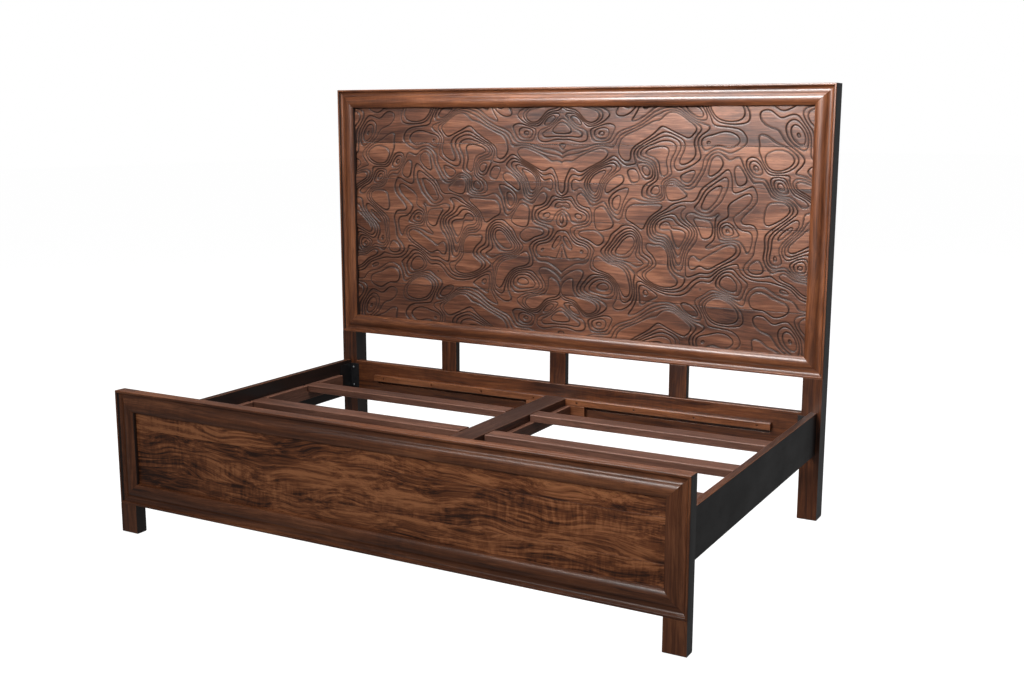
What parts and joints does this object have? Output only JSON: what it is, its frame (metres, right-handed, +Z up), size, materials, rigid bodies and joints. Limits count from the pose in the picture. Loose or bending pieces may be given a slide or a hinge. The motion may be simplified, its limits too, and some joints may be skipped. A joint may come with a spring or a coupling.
{
  "type": "bed frame",
  "caption": "Walnut bed frame: carved contour-relief headboard in a mitred moulding, framed footboard, dark side rails, centre beam and lift-out slats.",
  "frame": {"origin": "on the floor, under the middle of the whole bed", "axes": "+Z up, +Y from the foot of the bed to the headboard, +X to the right seen from the foot"},
  "size_m": [2.08, 1.358, 1.535],
  "materials": {
    "walnut_frame": "satin lacquered walnut, straight grain",
    "carved_walnut": "satin lacquered walnut boards, carved",
    "figured_walnut": "satin lacquered figured walnut boards",
    "dark_rail": "charcoal stained faces, brown top edge",
    "slat_wood": "thinly finished plain boards",
    "black_steel": "black powder coat",
    "screw_steel": "zinc plated",
    "glide_nylon": "moulded black nylon"
  },
  "bodies": {
    "frame": {"beam_ledger_left": "slat_wood", "beam_ledger_right": "slat_wood", "bracket_screw_foot_left_lower": "screw_steel", "bracket_screw_foot_left_upper": "screw_steel", "bracket_screw_foot_right_lower": "screw_steel", "bracket_screw_foot_right_upper": "screw_steel", "bracket_screw_head_left_lower": "screw_steel", "bracket_screw_head_left_upper": "screw_steel", "bracket_screw_head_right_lower": "screw_steel", "bracket_screw_head_right_upper": "screw_steel", "centre_beam": "slat_wood", "centre_leg": "slat_wood", "corner_bracket_foot_left": "black_steel", "corner_bracket_foot_right": "black_steel", "corner_bracket_head_left": "black_steel", "corner_bracket_head_right": "black_steel", "footboard_beam_socket": "walnut_frame", "footboard_bottom_rail": "walnut_frame", "footboard_moulding_bottom": "walnut_frame", "footboard_moulding_left": "walnut_frame", "footboard_moulding_right": "walnut_frame", "footboard_moulding_top": "walnut_frame", "footboard_panel_board_1": "figured_walnut", "footboard_panel_board_2": "figured_walnut", "footboard_panel_board_3": "figured_walnut", "footboard_post_left": "walnut_frame", "footboard_post_right": "walnut_frame", "footboard_top_rail": "walnut_frame", "headboard_beam_socket": "walnut_frame", "headboard_cleat_left": "walnut_frame", "headboard_cleat_right": "walnut_frame", "headboard_lower_rail": "walnut_frame", "headboard_middle_rail": "walnut_frame", "headboard_moulding_bottom": "walnut_frame", "headboard_moulding_left": "walnut_frame", "headboard_moulding_right": "walnut_frame", "headboard_moulding_top": "walnut_frame", "headboard_panel_board_1": "carved_walnut", "headboard_panel_board_2": "carved_walnut", "headboard_panel_board_3": "carved_walnut", "headboard_panel_board_4": "carved_walnut", "headboard_panel_board_5": "carved_walnut", "headboard_panel_board_6": "carved_walnut", "headboard_post_left": "walnut_frame", "headboard_post_right": "walnut_frame", "headboard_stile_centre": "walnut_frame", "headboard_stile_left": "walnut_frame", "headboard_stile_right": "walnut_frame", "headboard_top_rail": "walnut_frame", "side_rail_left": "dark_rail", "side_rail_right": "dark_rail", "slat_ledger_left": "slat_wood", "slat_ledger_right": "slat_wood"},
    "slat_foot_left": {"slat_foot_left": "slat_wood"},
    "slat_foot_right": {"slat_foot_right": "slat_wood"},
    "slat_head_left": {"slat_head_left": "slat_wood"},
    "slat_head_right": {"slat_head_right": "slat_wood"},
    "slat_middle_left": {"slat_middle_left": "slat_wood"},
    "slat_middle_right": {"slat_middle_right": "slat_wood"},
    "levelling_glide": {"levelling_glide": "glide_nylon"}
  },
  "joints": [
    {"name": "slat_foot_left_lift", "type": "slide", "parent": "frame", "child": "slat_foot_left", "axis": [0, 0, 1], "range_m": [0, 0.12]},
    {"name": "slat_foot_right_lift", "type": "slide", "parent": "frame", "child": "slat_foot_right", "axis": [0, 0, 1], "range_m": [0, 0.12]},
    {"name": "slat_head_left_lift", "type": "slide", "parent": "frame", "child": "slat_head_left", "axis": [0, 0, 1], "range_m": [0, 0.12]},
    {"name": "slat_head_right_lift", "type": "slide", "parent": "frame", "child": "slat_head_right", "axis": [0, 0, 1], "range_m": [0, 0.12]},
    {"name": "slat_middle_left_lift", "type": "slide", "parent": "frame", "child": "slat_middle_left", "axis": [0, 0, 1], "range_m": [0, 0.12]},
    {"name": "slat_middle_right_lift", "type": "slide", "parent": "frame", "child": "slat_middle_right", "axis": [0, 0, 1], "range_m": [0, 0.12]},
    {"name": "glide_height", "type": "slide", "parent": "frame", "child": "levelling_glide", "axis": [0, 0, 1], "range_m": [-0.01, 0.008]}
  ]
}
